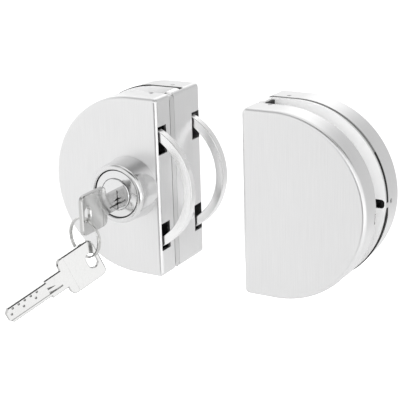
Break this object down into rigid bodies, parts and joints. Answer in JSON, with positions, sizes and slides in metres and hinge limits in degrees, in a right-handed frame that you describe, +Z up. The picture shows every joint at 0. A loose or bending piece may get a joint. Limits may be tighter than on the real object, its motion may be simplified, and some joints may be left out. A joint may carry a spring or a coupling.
{
  "type": "glass door lock",
  "caption": "Clamp-on lock for a pair of frameless glass doors: a D-shaped case with a key cylinder and ring bolts, its D-shaped keeper, and keys on a split ring.",
  "frame": {"origin": "on the middle plane of the glass, at the lock case's flat side and at half its height", "axes": "+X across the doors from the lock case to the keeper, +Y from the key side to the rear, +Z up"},
  "size_m": [0.192, 0.137, 0.1048],
  "materials": {
    "satin_steel": "satin stainless steel with a fine grain",
    "base_metal": "bright polished edge",
    "pad": "pale matt sheet",
    "inner_steel": "plain steel",
    "black_rubber": "matt black",
    "guard_steel": "satin steel, turned",
    "cylinder_chrome": "bright plated",
    "bolt_steel": "bright, lightly polished",
    "key_metal": "nickel plated, satin",
    "pin_brass": "plain brass"
  },
  "bodies": {
    "case": {"lock_front_cover": "satin_steel", "lock_front_base": "base_metal", "lock_front_pad": "pad", "lock_bridge": "inner_steel", "lock_edge_strips": "black_rubber", "lock_rear_pad": "pad", "lock_rear_base": "base_metal", "lock_gasket": "black_rubber", "lock_rear_cover": "satin_steel", "lock_clamp_screws": "inner_steel", "lock_grub_screws": "inner_steel", "cylinder_guard": "guard_steel", "cylinder_body": "cylinder_chrome", "driver_pins": "inner_steel", "pin_springs": "inner_steel", "front_bush": "pin_brass", "rear_bush": "pin_brass", "keeper_front_cover": "satin_steel", "keeper_front_base": "base_metal", "keeper_front_pad": "pad", "keeper_bridge": "inner_steel", "keeper_edge_strips": "black_rubber", "keeper_rear_pad": "pad", "keeper_rear_base": "base_metal", "keeper_gasket": "black_rubber", "keeper_rear_cover": "satin_steel", "keeper_clamp_screws": "inner_steel", "keeper_grub_screws": "inner_steel"},
    "rotor": {"cylinder_plug": "cylinder_chrome", "plug_clip": "inner_steel", "key_pins": "pin_brass", "spindle": "inner_steel", "spindle_screw": "inner_steel", "front_ring_bolt": "bolt_steel", "rear_ring_bolt": "bolt_steel"},
    "key_in_lock": {"key_1": "key_metal"},
    "split_ring": {"key_ring": "key_metal"},
    "hanging_key": {"key_2": "key_metal"}
  },
  "joints": [
    {"name": "plug_turn", "type": "hinge", "parent": "case", "child": "rotor", "pos_m": [-0.019, 0, 0], "axis": [0, -1, 0], "range_deg": [0, 180]},
    {"name": "key_slide", "type": "slide", "parent": "rotor", "child": "key_in_lock", "axis": [0, -1, 0], "range_m": [0, 0.03]},
    {"name": "key_ring_swing", "type": "hinge", "parent": "key_in_lock", "child": "split_ring", "pos_m": [-0.019, -0.06768, -0.00547], "axis": [-0.965, 0.196, 0.174], "range_deg": [-30, 40]},
    {"name": "key_2_swing", "type": "hinge", "parent": "split_ring", "child": "hanging_key", "pos_m": [-0.01789, -0.0679, -0.02667], "axis": [0.9414, -0.1921, 0.2771], "range_deg": [-40, 60]}
  ]
}
